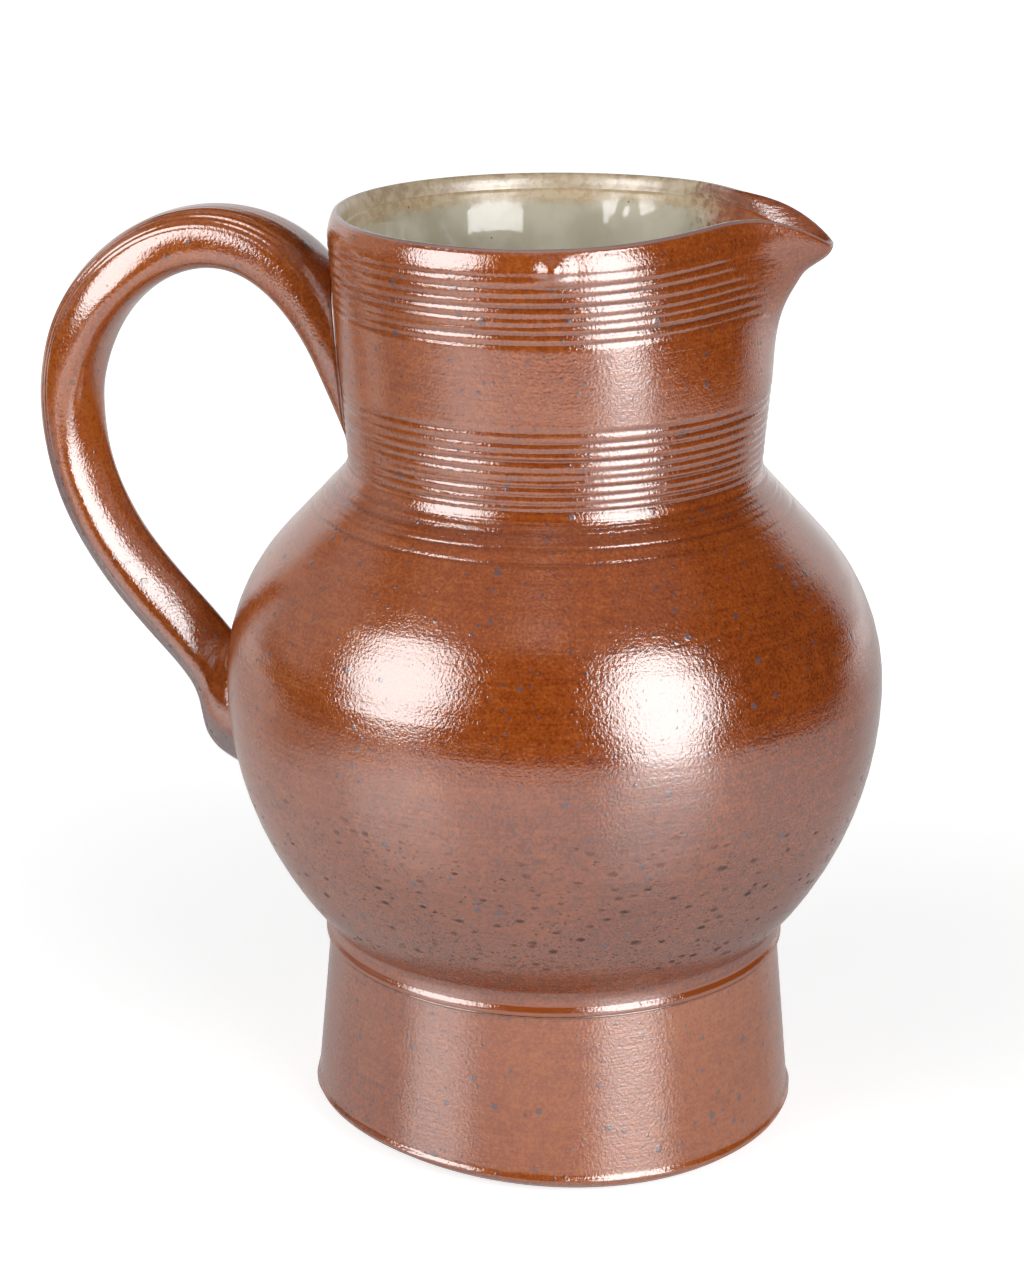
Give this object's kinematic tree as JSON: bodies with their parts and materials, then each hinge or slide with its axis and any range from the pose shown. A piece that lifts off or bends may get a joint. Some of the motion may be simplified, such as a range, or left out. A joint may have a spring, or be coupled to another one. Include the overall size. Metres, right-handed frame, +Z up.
{
  "type": "stoneware pitcher",
  "caption": "Salt-glazed stoneware pitcher with a round belly, grooved neck, pulled spout, strap handle and a flared foot, for holding and pouring drinks.",
  "frame": {"origin": "centre of the foot ring on the table plane", "axes": "+Z up along the jug's axis, +X towards the spout, handle at -X"},
  "size_m": [0.2357, 0.18, 0.2564],
  "materials": {
    "salt_glaze": "glossy orange-brown salt glaze with orange-peel texture and blue-grey specks",
    "luting_slip": "dark glossy glaze pooled over slip in the seams",
    "liner_glaze": "smooth grey-green poured glaze with small red-brown specks"
  },
  "bodies": {
    "root": {"thrown_body": "salt_glaze", "pedestal_foot": "salt_glaze", "handle": "salt_glaze", "foot_luting": "luting_slip", "handle_upper_luting": "luting_slip", "handle_lower_luting": "luting_slip", "liner_glaze": "liner_glaze"}
  },
  "joints": []
}
